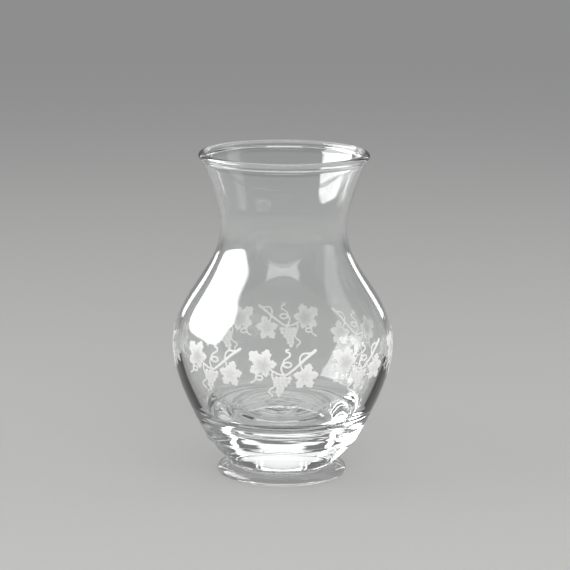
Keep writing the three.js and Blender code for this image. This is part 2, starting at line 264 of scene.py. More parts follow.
class GeometryTree(NodeTree):
    """A Geometry Nodes tree with named inputs that ends in Realize Instances and Set Material."""

    def __init__(self, name: str) -> None:
        """Starts a tree.

        Args:
            name: the tree's name.
        """
        super().__init__(bpy.data.node_groups.new(name, "GeometryNodeTree"))
        for way in ("INPUT", "OUTPUT"):
            self.tree.interface.new_socket("Geometry", in_out=way, socket_type=InputKind.GEOMETRY.value)
        self.start, self.end = self.node("NodeGroupInput"), self.node("NodeGroupOutput")
        self.identifiers: dict[str, str] = {}

    @property
    def geometry(self) -> Socket:
        """The geometry that the tree starts from."""
        return self.start.outputs["Geometry"]

    def input(self, name: str, kind: InputKind = InputKind.FLOAT) -> Socket:
        """Adds a named input.

        Args:
            name: the input's name.
            kind: what it holds.

        Returns:
            The socket inside the tree that gives its value.
        """
        item = self.tree.interface.new_socket(name, in_out="INPUT", socket_type=kind.value)
        self.identifiers[name] = item.identifier
        return self.start.outputs[name]

    def ahead(self, turn: Socket) -> tuple[Socket, Socket]:
        """X and Y of the level unit vector at an azimuth in radians."""
        return self.math("SINE", turn), self.math("MULTIPLY", self.math("COSINE", turn), -1.0)

    def finish(self, geometry: Socket) -> None:
        """Ends the tree: faces are shaded smooth, instances become mesh, and the material input is put on it.

        Args:
            geometry: what the tree made.
        """
        material = self.input("Material", InputKind.MATERIAL)
        smooth = self.node("GeometryNodeSetShadeSmooth", {"Geometry": geometry, "Shade Smooth": True})
        real = self.node("GeometryNodeRealizeInstances", {0: smooth.outputs[0]})
        dressed = self.node("GeometryNodeSetMaterial", {"Geometry": real.outputs[0], "Material": material})
        self.tree.links.new(dressed.outputs[0], self.end.inputs["Geometry"])

    def grow(self, name: str, seed_mesh: bpy.types.Mesh, values: dict[str, object]) -> bpy.types.Object:
        """Runs the tree on a mesh and keeps the result as a plain mesh object.

        Args:
            name: the new object's name.
            seed_mesh: the mesh that the tree starts from.
            values: the value of each named input.

        Returns:
            The object, at the origin, without the modifier.
        """
        made = bpy.data.objects.new(name, seed_mesh)
        bpy.context.scene.collection.objects.link(made)
        modifier = made.modifiers.new("grown", "NODES")
        modifier.node_group = self.tree
        for key, value in values.items():
            modifier[self.identifiers[key]] = value
        depsgraph = bpy.context.evaluated_depsgraph_get()
        evaluated = made.evaluated_get(depsgraph)
        mesh = bpy.data.meshes.new_from_object(evaluated, preserve_all_data_layers=True, depsgraph=depsgraph)
        made.modifiers.clear()
        made.data = mesh
        mesh.name = name
        bpy.data.meshes.remove(seed_mesh)
        return made


class ShaderTree(NodeTree):
    """The nodes of a material, a surround or a shader group."""

    def __init__(self, tree: bpy.types.NodeTree) -> None:
        """Takes a tree and empties it."""
        super().__init__(tree)
        tree.nodes.clear()

    def tint(self, share: Socket, low: Sequence[float], high: Sequence[float]) -> Socket:
        """A colour between two others.

        Args:
            share: 0 gives low and 1 gives high.
            low: the first colour.
            high: the second colour.

        Returns:
            The mixed colour's socket.
        """
        sockets = {0: share, 6: (*low, 1.0), 7: (*high, 1.0)}
        return self.node("ShaderNodeMix", sockets, data_type="RGBA").outputs[2]


def new_material(name: str) -> tuple[bpy.types.Material, ShaderTree]:
    """An empty node material.

    Args:
        name: its name.

    Returns:
        The material and its tree.
    """
    material = bpy.data.materials.new(name)
    material.use_nodes = True
    return material, ShaderTree(material.node_tree)


@dataclass(frozen=True)
class FineGrain:
    """Fine surface unevenness, by a shader group that the glass, the enamel and the floor share.

    Sizes of the grain and of the broader clouds in it are metres.
    """

    NAME = "fine grain"
    INPUTS = ("Size", "Cloud Size", "Seed")
    OUTPUTS = ("Grain", "Cloud", "Height")
    DETAIL = (2.0, 4.0)
    ROUGHNESS = 0.55
    SPREAD = (0.3, 0.7)
    SHARES = (0.7, 0.3)

    size: float
    cloud_size: float
    seed: float

    @classmethod
    def group(cls) -> bpy.types.NodeTree:
        """The group, built on first use.

        Returns:
            The node group, with outputs from 0 to 1; the height is the grain and the clouds together.
        """
        made = bpy.data.node_groups.get(cls.NAME)
        if made is not None:
            return made
        made = bpy.data.node_groups.new(cls.NAME, "ShaderNodeTree")
        for way, names in (("INPUT", cls.INPUTS), ("OUTPUT", cls.OUTPUTS)):
            for name in names:
                made.interface.new_socket(name, in_out=way, socket_type=InputKind.FLOAT.value)
        tree = ShaderTree(made)
        start, end = tree.node("NodeGroupInput"), tree.node("NodeGroupOutput")
        place = tree.node("ShaderNodeTexCoord").outputs["Object"]
        layers = []
        for name, detail in zip(cls.INPUTS, cls.DETAIL):
            scale = tree.math("DIVIDE", 1.0, start.outputs[name])
            noise = tree.noise(place, scale, start.outputs["Seed"], detail, cls.ROUGHNESS)
            layers.append(tree.ramp(noise, *cls.SPREAD))
        height = tree.math("ADD", *(tree.math("MULTIPLY", *pair) for pair in zip(layers, cls.SHARES)))
        for name, value in zip(cls.OUTPUTS, (*layers, height)):
            made.links.new(value, end.inputs[name])
        return made

    def place(self, tree: ShaderTree) -> bpy.types.NodeOutputs:
        """Places the group in a material and gives its outputs."""
        values = zip(self.INPUTS, (self.size, self.cloud_size, self.seed))
        return tree.node("ShaderNodeGroup", dict(values), node_tree=self.group()).outputs


@dataclass(frozen=True)
class ClearGlass:
    """Fire-polished colourless glass, with faint smears that dull it a little.

    The lamps shine straight through it. lamp_share is what passes where it faces the light and where it is
    edge on.
    """

    colour: Colour = (0.985, 0.995, 0.992)
    refraction: float = 1.52
    grain: FineGrain = FineGrain(size=0.0009, cloud_size=0.022, seed=3.0)
    roughness: Point = (0.0, 0.035)
    smears_from: float = 0.62
    least_smear: float = 0.6
    lamp_share: Point = (0.985, 0.5)
    lamp_falloff: float = 3.0

    def material(self) -> bpy.types.Material:
        """The material: glass for the eye, and nearly open to light from the lamps.

        Returns:
            The material.
        """
        made, tree = new_material("clear glass")
        grain = self.grain.place(tree)
        smear = tree.ramp(grain["Cloud"], start=self.smears_from)
        dull = tree.math("MULTIPLY", smear, tree.ramp(grain["Grain"], low=self.least_smear))
        shader = tree.node(
            "ShaderNodeBsdfPrincipled",
            {
                "Base Color": (*self.colour, 1.0),
                "Roughness": tree.ramp(dull, low=self.roughness[0], high=self.roughness[1]),
                "IOR": self.refraction,
                "Transmission Weight": 1.0,
            },
        )
        light = tree.node("ShaderNodeLightPath").outputs
        straight = tree.math("MAXIMUM", light["Is Shadow Ray"], light["Is Diffuse Ray"])
        facing = tree.node("ShaderNodeLayerWeight", {"Blend": 0.5}).outputs["Facing"]
        edge_on = tree.math("POWER", facing, self.lamp_falloff)
        dimmed = tree.tint(edge_on, *((share,) * 3 for share in self.lamp_share))
        clear = tree.node("ShaderNodeBsdfTransparent", {"Color": dimmed})
        both = tree.node("ShaderNodeMixShader", {0: straight, 1: shader.outputs[0], 2: clear.outputs[0]})
        tree.node("ShaderNodeOutputMaterial", {"Surface": both.outputs[0]})
        return made


@dataclass(frozen=True)
class FiredEnamel:
    """White enamel, whiter where the print lies thick and greyer in its veins and thin middles; greyer too at
    the grapes' rims, where it is painted shade in the creases between them.
    """

    thick: Colour = (0.93, 0.93, 0.91)
    thin: Colour = (0.54, 0.55, 0.545)
    roughness: Point = (0.5, 0.72)
    refraction: float = 1.5
    grain: FineGrain = FineGrain(size=0.00022, cloud_size=0.0016, seed=7.0)
    cloud_spread: float = 0.22
    speckle_spread: float = 0.16
    bump_metres: float = 0.00002
    bump_strength: float = 0.6

    def material(self) -> bpy.types.Material:
        """The material, which reads the piece's cover_and_painted_shade attribute: the enamel's thickness,
        with painted shade at the grapes' rims.

        Returns:
            The material.
        """
        made, tree = new_material("fired white enamel")
        grain = self.grain.place(tree)
        # The attribute holds the enamel's thickness and the painted shade between grapes; the thin colour
        # shows both.
        cover_and_painted_shade = tree.node("ShaderNodeAttribute", attribute_name="cover_and_painted_shade").outputs["Fac"]
        clouded = tree.math("ADD", cover_and_painted_shade, tree.swing(grain["Cloud"], self.cloud_spread))
        depth = tree.math("ADD", clouded, tree.swing(grain["Grain"], self.speckle_spread))
        bump = tree.node(
            "ShaderNodeBump",
            {"Height": grain["Height"], "Distance": self.bump_metres, "Strength": self.bump_strength},
        )
        shader = tree.node(
            "ShaderNodeBsdfPrincipled",
            {
                "Base Color": tree.tint(depth, self.thin, self.thick),
                "Roughness": tree.ramp(grain["Grain"], low=self.roughness[0], high=self.roughness[1]),
                "Normal": bump.outputs[0],
                "IOR": self.refraction,
            },
        )
        tree.node("ShaderNodeOutputMaterial", {"Surface": shader.outputs[0]})
        return made


def store(mesh: bpy.types.Mesh, name: str, values: Sequence[float]) -> None:
    """Keeps a named number for each point of a mesh."""
    mesh.attributes.new(name, "FLOAT", "POINT").data.foreach_set("value", values)


@dataclass(frozen=True)
class Ridge:
    """A shallow ridge round the glass: where its middle lies, its half width and how far it stands out."""

    at: float
    half_width: float
    rise: float

    def lift(self, place: float) -> float:
        """How far the glass stands out at a place."""
        away = abs(place - self.at) / self.half_width
        return self.rise * (1 + math.cos(math.pi * away)) / 2 if away < 1 else 0.0


@dataclass(frozen=True)
class ProfilePoint:
    """A point of the glass's profile, the way out of the glass there, and how uneven the surface is.

    run is the length of the profile up to it, ripple the share of the broad unevenness, and rings the height
    of the fine turned rings.
    """

    radius: float
    height: float
    out: Point
    run: float
    ripple: float
    rings: float


@dataclass(frozen=True)
class ProfileSteps:
    """Number of steps in each stretch of the profile, and round the axis."""

    punt: int = 20
    foot_edge: int = 10
    foot_top: int = 16
    undercut: int = 18
    near_heel: int = 48
    lower_body: int = 26
    shoulder: int = 44
    flare: int = 28
    bead: int = 30
    inner_flare: int = 26
    inner_shoulder: int = 40
    inner_body: int = 36
    floor_corner: int = 16
    floor: int = 56
    turn: int = 192


@dataclass(frozen=True)
class GlassBody:
    """The whole glass: foot, waist, heel, body, neck and flared lip, with the hollow inside.

    Handles say how full a curve is, low end first, as shares of the height that the curve climbs; the floor
    corner's are shares of its drop and of its reach. Reaches say the same sideways. Leans are the wall's
    slope outwards at the heel. Ripple and rings are full heights of unevenness.
    """

    foot_radius: float = 24.1
    foot_edge_radius: float = 1.2
    foot_ring_width: float = 5.4
    foot_thickness: float = 3.9
    foot_top_turn: float = 84.0
    punt_rise: float = 0.5
    waist_radius: float = 18.6
    undercut_start: float = 0.05
    undercut_handles: Point = (0.34, 0.15)
    undercut_reach: float = 0.44
    undercut_lean: float = 0.9
    heel_radius: float = 27.7
    heel_height: float = 13.0
    heel_lean: float = 0.56
    lower_handles: Point = (0.35, 0.3)
    near_heel: float = 0.42
    body_radius: float = 40.6
    body_height: float = 48.7
    shoulder_handles: Point = (0.438, 0.374)
    neck_radius: float = 23.5
    neck_height: float = 91.3
    flare_handles: Point = (0.364, 0.335)
    flare_reach: float = 0.51
    lip_radius: float = 31.35
    vase_height: float = 119.99
    bead_radius: float = 1.42
    bead_turn: Point = (-64.8, 190.8)
    wall: float = 2.0
    low_wall: float = 4.0
    floor_height: float = 23.0
    floor_radius: float = 22.5
    floor_corner: float = 3.0
    corner_handles: Point = (0.6, 0.45)
    steps: ProfileSteps = ProfileSteps()
    ripple: float = 0.2
    ripple_start_steps: int = 12
    ripple_waves: float = 60.0
    ripple_flattening: float = 0.45
    ring_spacing: float = 2.0
    ring_wander: float = 0.6
    heel_rings: float = 0.4
    heel_rings_start: Point = (17.5, 20.5)
    heel_rings_end: Point = (22.0, 27.0)
    floor_rings: float = 0.1
    floor_rings_start: Point = (0.5, 3.0)
    heel_ridge: Ridge = Ridge(13.9, 0.9, 0.2)
    floor_ridge: Ridge = Ridge(17.4, 2.2, 0.22)
    seed: float = 11.0

    @property
    def heel(self) -> Point:
        """Where the undercut meets the body."""
        return self.heel_radius, self.heel_height

    @property
    def widest(self) -> Point:
        """The widest point of the body."""
        return self.body_radius, self.body_height

    @property
    def neck(self) -> Point:
        """The narrowest point of the neck."""
        return self.neck_radius, self.neck_height

    @property
    def bead_centre(self) -> Point:
        """Centre of the lip's round bead."""
        return self.lip_radius - self.bead_radius, self.vase_height - self.bead_radius

    @property
    def lower_body(self) -> Bezier:
        """Outer wall.

        Returns:
            The curve from the heel to the widest point.
        """
        rise = self.body_height - self.heel_height
        low, high = self.lower_handles
        leave = (self.heel_radius + self.heel_lean * low * rise, self.heel_height + low * rise)
        return Bezier(self.heel, leave, (self.body_radius, self.body_height - high * rise), self.widest)

    @property
    def shoulder(self) -> Bezier:
        """Outer wall.

        Returns:
            The curve from the widest point to the neck.
        """
        rise = self.neck_height - self.body_height
        low, high = self.shoulder_handles
        leave, arrive = self.body_height + low * rise, self.neck_height - high * rise
        return Bezier(self.widest, (self.body_radius, leave), (self.neck_radius, arrive), self.neck)

    @property
    def flare(self) -> Bezier:
        """Outer wall.

        Returns:
            The curve from the neck to just under the bead.
        """
        end = (self.bead_centre[0] - self.bead_radius / 3, self.bead_centre[1] - 2 * self.bead_radius)
        rise, reach = end[1] - self.neck_height, end[0] - self.neck_radius
        low, high = self.flare_handles
        leave = (self.neck_radius, self.neck_height + low * rise)
        return Bezier(self.neck, leave, (end[0] - self.flare_reach * reach, end[1] - high * rise), end)

    def foot_profile(self) -> Profile:
        """The foot.

        Returns:
            Punt, flat ring, rounded edge and the rounded top that runs in to the waist.
        """
        steps, edge_radius = self.steps, self.foot_edge_radius
        ring_outer = self.foot_radius - edge_radius
        ring_inner = ring_outer - self.foot_ring_width
        shares = [i / steps.punt for i in range(steps.punt)]
        punt = [(ring_inner * share, self.punt_rise * (1 - share**2)) for share in shares]
        edge = arc((ring_outer, edge_radius), (edge_radius,) * 2, -90, 0, steps.foot_edge)
        top_reach = (self.foot_radius - self.waist_radius, self.foot_thickness - edge_radius)
        top = arc((self.waist_radius, edge_radius), top_reach, 0, self.foot_top_turn, steps.foot_top)
        return [*punt, (ring_inner, 0.0), *edge, *top[1:]]

    def undercut_profile(self) -> Profile:
        """Hollow between the waist and the heel.

        Returns:
            Its points, up to the heel, which it meets in a soft edge.
        """
        rise, reach = self.heel_height - self.foot_thickness, self.heel_radius - self.waist_radius
        (low, high), start = self.undercut_handles, self.undercut_start
        curve = Bezier(
            (self.waist_radius + start * reach, self.foot_thickness + start * rise),
            (self.waist_radius + self.undercut_reach * reach, self.foot_thickness + low * rise),
            (self.heel_radius - self.undercut_lean * high * rise, self.heel_height - high * rise),
            self.heel,
        )
        return curve.points(self.steps.undercut)

    def outside_profile(self) -> Profile:
        """The outside.

        Returns:
            Its points, from the middle of the punt over the lip's bead to the bead's inner side.
        """
        steps = self.steps
        return [
            *self.foot_profile(),
            *self.undercut_profile(),
            *self.lower_body.points(steps.near_heel, 0.0, self.near_heel)[1:],
            *self.lower_body.points(steps.lower_body, self.near_heel, 1.0)[1:],
            *self.shoulder.points(steps.shoulder)[1:],
            *self.flare.points(steps.flare)[1:],
            *arc(self.bead_centre, (self.bead_radius,) * 2, *self.bead_turn, steps.bead),
        ]

    def lower_inside(self, share: float) -> Point:
        """The inner wall below the widest point.

        Args:
            share: the share of the lower body that it lies beside.

        Returns:
            The point. The wall thickens from the widest point to the floor.
        """
        height = self.lower_body.at(share)[1]
        depth = (self.body_height - height) / (self.body_height - self.floor_height)
        return self.lower_body.beside(share, self.wall + (self.low_wall - self.wall) * depth)

    def corner_share(self) -> float:
        """Where the inner wall ends and the floor's corner starts.

        Returns:
            The share of the lower body beside it.
        """
        low, high = 0.0, 1.0
        for _ in range(BISECTIONS):
            middle = (low + high) / 2
            if self.lower_inside(middle)[1] < self.floor_height + self.floor_corner:
                low = middle
            else:
                high = middle
        return low

    def inside_profile(self) -> Profile:
        """The hollow.

        Returns:
            Its points, from under the bead down to the middle of the floor.
        """
        steps, span = self.steps, 1 - self.corner_share()
        shoulder = self.shoulder.inset(steps.inner_shoulder, self.wall)
        wall = [*shoulder, *self.flare.inset(steps.inner_flare, self.wall)[1:]][::-1]
        wall += [self.lower_inside(1 - span * (i + 1) / steps.inner_body) for i in range(steps.inner_body)]
        above, foot = wall[-2:]
        lean = (above[0] - foot[0]) / (above[1] - foot[1])
        drop = self.corner_handles[0] * (foot[1] - self.floor_height)
        corner = Bezier(
            foot,
            (foot[0] - lean * drop, foot[1] - drop),
            (self.floor_radius + self.corner_handles[1] * (foot[0] - self.floor_radius), self.floor_height),
            (self.floor_radius, self.floor_height),
        )
        shares = [i / steps.floor for i in range(1, steps.floor + 1)]
        floor = [(self.floor_radius * (1 - share), self.floor_height) for share in shares]
        return [*wall, *corner.points(steps.floor_corner)[1:], *floor]

    def relief(self, place: Point, inside: bool) -> Point:
        """The turned rings and ridges at a place of the profile.

        Args:
            place: its radius and height.
            inside: whether it lies in the hollow.

        Returns:
            The height of the rings there, and how far a ridge stands out.
        """
        radius, height = place
        if inside and height < self.floor_height + self.floor_corner:
            rings = self.floor_rings * soft_step(radius, *self.floor_rings_start)
            return rings, self.floor_ridge.lift(radius)
        if not inside and height >= self.heel_height:
            rings = self.heel_rings * soft_step(height, *self.heel_rings_start)
            return rings * (1 - soft_step(height, *self.heel_rings_end)), self.heel_ridge.lift(height)
        return 0.0, 0.0

    def profile(self) -> list[ProfilePoint]:
        """The whole profile, with its ridges, and how uneven the glass is at each point.

        Returns:
            The points, from the middle of the punt over the lip to the middle of the floor.
        """
        outside = self.outside_profile()
        line = [*outside, *self.inside_profile()]
        points, run = [], 0.0
        for i, (before, here, after) in enumerate(zip([line[0], *line], line, [*line[1:], line[-1]])):
            dx, dy = after[0] - before[0], after[1] - before[1]
            length = math.hypot(dx, dy)
            run += math.dist(before, here)
            at_end = i in (0, len(line) - 1)
            out = (0.0, math.copysign(1.0, i - 1)) if at_end else (dy / length, -dx / length)
            within = i - len(outside)
            ripple = min(1.0, within / self.ripple_start_steps, here[0] / self.floor_radius)
            rings, lift = self.relief(here, inside=within >= 0)
            place = (here[0] + out[0] * lift, here[1] + out[1] * lift)
            points.append(ProfilePoint(*place, out, run, max(0.0, ripple), rings))
        return points

    def profile_mesh(self) -> bpy.types.Mesh:
        """The profile as loose points in metres, with what the turning tree reads at each.

        Returns:
            A mesh whose points are (radius, 0, height), with the way out, the run, the ripple and the rings.
        """
        points = self.profile()
        mesh = bpy.data.meshes.new("vase profile")
        mesh.from_pydata([(point.radius * MM, 0.0, point.height * MM) for point in points], [], [])
        outward = [value for point in points for value in (point.out[0], 0.0, point.out[1])]
        mesh.attributes.new("out", "FLOAT_VECTOR", "POINT").data.foreach_set("vector", outward)
        store(mesh, "run", [point.run / self.ring_spacing for point in points])
        store(mesh, "ripple", [point.ripple * self.ripple * MM for point in points])
        store(mesh, "rings", [point.rings * MM for point in points])
        return mesh

    @staticmethod
    def turning_tree() -> GeometryTree:
        """The tree that turns a profile round the axis into one closed surface.

        Returns:
            The tree, with inputs Turn Steps, Seed, Waves, Flattening, Wander and Material.
        """
        made = GeometryTree("turned glass")
        steps = made.input("Turn Steps", InputKind.WHOLE)
        seed, waves, flattening, wander = map(made.input, ("Seed", "Waves", "Flattening", "Wander"))
        domain = made.node("GeometryNodeAttributeDomainSize", {"Geometry": made.geometry}, component="MESH")
        count = domain.outputs["Point Count"]
        columns = made.math("ADD", steps, 1.0)
        grid = made.node(
            "GeometryNodeMeshGrid", {"Size X": 1.0, "Size Y": 1.0, "Vertices X": columns, "Vertices Y": count}
        ).outputs["Mesh"]
        index = made.node("GeometryNodeInputIndex").outputs[0]
        column = made.math("FLOOR", made.math("DIVIDE", made.math("ADD", index, 0.5), count))
        row = made.math("SUBTRACT", index, made.math("MULTIPLY", column, count))

        def along_profile(value: Socket, kind: str) -> Socket:
            """A value of the profile's point in this row."""
            sockets = {"Geometry": made.geometry, "Value": value, "Index": row}
            return made.node("GeometryNodeSampleIndex", sockets, data_type=kind, domain="POINT").outputs[0]

        def kept(name: str, kind: str = "FLOAT") -> Socket:
            """A named attribute of the profile's point in this row."""
            stored = made.node("GeometryNodeInputNamedAttribute", {"Name": name}, data_type=kind)
            return along_profile(stored.outputs[0], kind)

        position = made.node("GeometryNodeInputPosition").outputs[0]
        radius, _, height = made.split(along_profile(position, "FLOAT_VECTOR"))
        out_level, _, out_up = made.split(kept("out", "FLOAT_VECTOR"))
        turn = made.math("MULTIPLY", made.math("DIVIDE", column, steps), 2 * math.pi)
        ahead = made.ahead(turn)

        def around(distance: Socket, level: Socket) -> Socket:
            """The point at a distance from the axis and a level, at this column's turn."""
            return made.join(*(made.math("MULTIPLY", distance, value) for value in ahead), level)

        flattened = made.vector("MULTIPLY", around(radius, height), made.join(1.0, 1.0, flattening))
        ringed = made.join(*(made.math("MULTIPLY", value, wander) for value in ahead), kept("run"))
        broad = made.swing(made.noise(flattened, waves, seed), kept("ripple"))
        fine = made.swing(made.noise(ringed, 1.0, seed), kept("rings"))
        lift = made.math("ADD", broad, fine)
        place = around(
            made.math("ADD", radius, made.math("MULTIPLY", lift, out_level)),
            made.math("ADD", height, made.math("MULTIPLY", lift, out_up)),
        )
        turned = made.node("GeometryNodeSetPosition", {"Geometry": grid, "Position": place})
        closed = made.node("GeometryNodeMergeByDistance", {"Geometry": turned.outputs[0], "Distance": TINY})
        made.finish(closed.outputs[0])
        return made

    def build(self, finish: ClearGlass) -> bpy.types.Object:
        """Builds the glass.

        Args:
            finish: the glass finish.

        Returns:
            The piece, in place of the CAD solid.
        """
        values = {
            "Turn Steps": self.steps.turn,
            "Seed": self.seed,
            "Waves": self.ripple_waves,
            "Flattening": self.ripple_flattening,
            "Wander": self.ring_wander,
            "Material": finish.material(),
        }
        piece = self.turning_tree().grow("turned_glass_body", self.profile_mesh(), values)
        face_outwards(piece.data)
        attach(piece, "root")
        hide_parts("glass_body")
        return piece


def enclosed_volume(mesh: bpy.types.Mesh) -> float:
    """The signed volume inside a closed mesh.

    Args:
        mesh: the mesh.

    Returns:
        Cubic metres, negative where the faces point inwards.
    """
    mesh.calc_loop_triangles()
    corners = np.empty(len(mesh.loop_triangles) * 3, dtype=np.int32)
    mesh.loop_triangles.foreach_get("vertices", corners)
    places = np.empty(len(mesh.vertices) * 3, dtype=np.float32)
    mesh.vertices.foreach_get("co", places)
    a, b, c = places.reshape(-1, 3).astype(float)[corners.reshape(-1, 3)].transpose(1, 0, 2)
    return float(np.einsum("ij,ij->i", a, np.cross(b, c)).sum() / 6)


def face_outwards(mesh: bpy.types.Mesh) -> None:
    """Turns a closed mesh's faces outwards if they point inwards."""
    if enclosed_volume(mesh) < 0:
        mesh.flip_normals()


class Ink:
    """Signed distances to drawn shapes at many points of the flat sprig, below 0 inside a shape."""

    def __init__(self, points: np.ndarray) -> None:
        """Takes the points, rows of x and y in millimetres."""
        self.points = points

    def side(self, a: np.ndarray, b: np.ndarray) -> tuple[np.ndarray, np.ndarray]:
        """Nearest places on a straight side.

        Args:
            a: the side's start.
            b: the side's end.

        Returns:
            For each point, the share of the side at the nearest place, and the distance to it.
        """
        side = b - a
        share = np.clip((self.points - a) @ side / max(side @ side, 1e-9), 0, 1)
        return share, np.hypot(*(self.points - a - share[:, None] * side).T)

    def line(self, course: Sequence[Point], start_width: float, end_width: float) -> np.ndarray:
        """Distance to a round-ended line whose width runs evenly along it.

        Args:
            course: the line's points.
            start_width: width at its start.
            end_width: width at its end.

        Returns:
            The distances.
        """
        nodes = np.array(course)
        runs = np.hypot(*np.diff(nodes, axis=0).T)
        halves = (start_width + (end_width - start_width) * np.r_[0, np.cumsum(runs)] / runs.sum()) / 2
        nearest = np.full(len(self.points), np.inf)
        for a, b, start, end in zip(nodes[:-1], nodes[1:], halves[:-1], halves[1:]):
            share, away = self.side(a, b)
            nearest = np.minimum(nearest, away - start - (end - start) * share)
        return nearest

    def outline(self, corners: Sequence[Point], rounding: float) -> np.ndarray:
        """Distance to a filled outline whose corners are rounded outwards.

        Args:
            corners: the outline's points.
            rounding: how far the edge stands outside the points.

        Returns:
            The distances.
        """
        nodes = np.array(corners)
        nearest = np.full(len(self.points), np.inf)
        inside = np.zeros(len(self.points), dtype=bool)
        x, y = self.points.T
        for a, b in zip(nodes, np.roll(nodes, -1, axis=0)):
            nearest = np.minimum(nearest, self.side(a, b)[1])
            if a[1] != b[1]:
                crosses = (a[1] > y) != (b[1] > y)
                inside ^= crosses & (x < (b[0] - a[0]) * (y - a[1]) / (b[1] - a[1]) + a[0])
        return np.where(inside, -nearest, nearest) - rounding

    def disc(self, centre: Point, radius: float) -> np.ndarray:
        """Distance to a filled circle."""
        return np.hypot(*(self.points - np.array(centre)).T) - radius


def joined(first: np.ndarray, second: np.ndarray, fillet: float) -> np.ndarray:
    """Distance to two shapes together, with the corner between them filled as ink fills it.

    Args:
        first: distances to one shape.
        second: distances to the other.
        fillet: how far apart the fill reaches.

    Returns:
        The distances.
    """
    share = np.clip(0.5 + 0.5 * (second - first) / fillet, 0, 1)
    return second + (first - second) * share - fillet * share * (1 - share)


def smooth_course(points: Sequence[Point], steps: int = 8) -> list[Point]:
    """A smooth line through points.

    Args:
        points: the points it passes.
        steps: steps between two points.

    Returns:
        The line's points.
    """
    padded = [points[0], *points, points[-1]]

    def between(b: float, h: float, n: float, a: float, t: float) -> float:
        """A coordinate on the way from h to n, where b comes before them and a after."""
        square, cube = 2 * b - 5 * h + 4 * n - a, 3 * h - b - 3 * n + a
        return 0.5 * (2 * h + (n - b) * t + square * t**2 + cube * t**3)

    course = [
        tuple(between(*values, i / steps) for values in zip(*corners))
        for corners in zip(padded, padded[1:], padded[2:], padded[3:])
        for i in range(steps)
    ]
    return [*course, tuple(points[-1])]


@dataclass(frozen=True)
class Lobe:
    """One lobe of a leaf: its turn from the leaf's axis, its reach, and the notch that follows it."""

    turn: float
    reach: float
    notch: float


@dataclass(frozen=True)
class Leaf:
    """A five-lobed toothed leaf round its heart. Its cover thins towards the middle."""

    heart: Point
    axis: float
    length: float
    lobes: tuple[Lobe, ...]
    middle_cover: float
    vein_span: Point = (0.2, 0.74)
    tooth_line: tuple[Point, ...] = (
        (0.6, -0.24), (0.76, -0.31), (0.82, -0.18), (0.98, -0.08),
        (0.98, 0.08), (0.82, 0.18), (0.76, 0.31), (0.6, 0.24),
    )

    def place(self, degrees: float, along: float, across: float) -> Point:
        """A point by its direction from the heart.

        Args:
            degrees: the direction, counted from the right.
            along: how far it lies in that direction.
            across: how far it lies to the left of it.

        Returns:
            The point.
        """
        turn = math.radians(degrees)
        return (
            self.heart[0] + along * math.cos(turn) - across * math.sin(turn),
            self.heart[1] + along * math.sin(turn) + across * math.cos(turn),
        )

    def corners(self) -> list[Point]:
        """The outline.

        Returns:
            Its corners: the teeth of each lobe and the notch after it.
        """
        found = []
        for lobe, following in zip(self.lobes, (*self.lobes[1:], self.lobes[0])):
            reach, heading = lobe.reach * self.length, self.axis + lobe.turn
            found += [self.place(heading, along * reach, across * reach) for along, across in self.tooth_line]
            gap = (following.turn - lobe.turn) % 360
            found.append(self.place(heading + gap / 2, lobe.notch * self.length, 0))
        return found

    def veins(self) -> list[list[Point]]:
        """The veins.

        Returns:
            Start and end of the vein in each lobe.
        """
        near, far = self.vein_span
        return [
            [self.place(self.axis + lobe.turn, share * self.length, 0) for share in (near, far * lobe.reach)]
            for lobe in self.lobes
        ]


@dataclass(frozen=True)
class Tendril:
    """A thin curling line, with the closed loop that it makes on its way, if it has one."""

    course: tuple[Point, ...]
    loop_centre: Point | None = None
    loop_reach: Point = (0.0, 0.0)


@dataclass(frozen=True)
class GrapeBunch:
    """Grapes in rows, each a little further left than the one above. Spacings are shares of the radius."""

    top: Point = (-0.2, -2.0)
    radius: float = 0.87
    rows: tuple[int, ...] = (4, 4, 3, 2, 2, 1)
    across: float = 1.78
    down: float = 1.46
    lean: float = 0.35
    uneven: float = 0.05

    def grapes(self) -> list[tuple[Point, float]]:
        """The grapes, whose sizes differ a little.

        Returns:
            The middle and the radius of each.
        """
        centres = []
        for row, count in enumerate(self.rows):
            middle = self.top[0] - self.lean * self.radius * row
            start = middle - self.across * self.radius * (count - 1) / 2
            y = self.top[1] - self.down * self.radius * row
            centres += [(start + self.across * self.radius * i, y) for i in range(count)]
        radii = [self.radius * (1 - self.uneven * ((i * 7) % 5) / 2) for i in range(len(centres))]
        return list(zip(centres, radii))


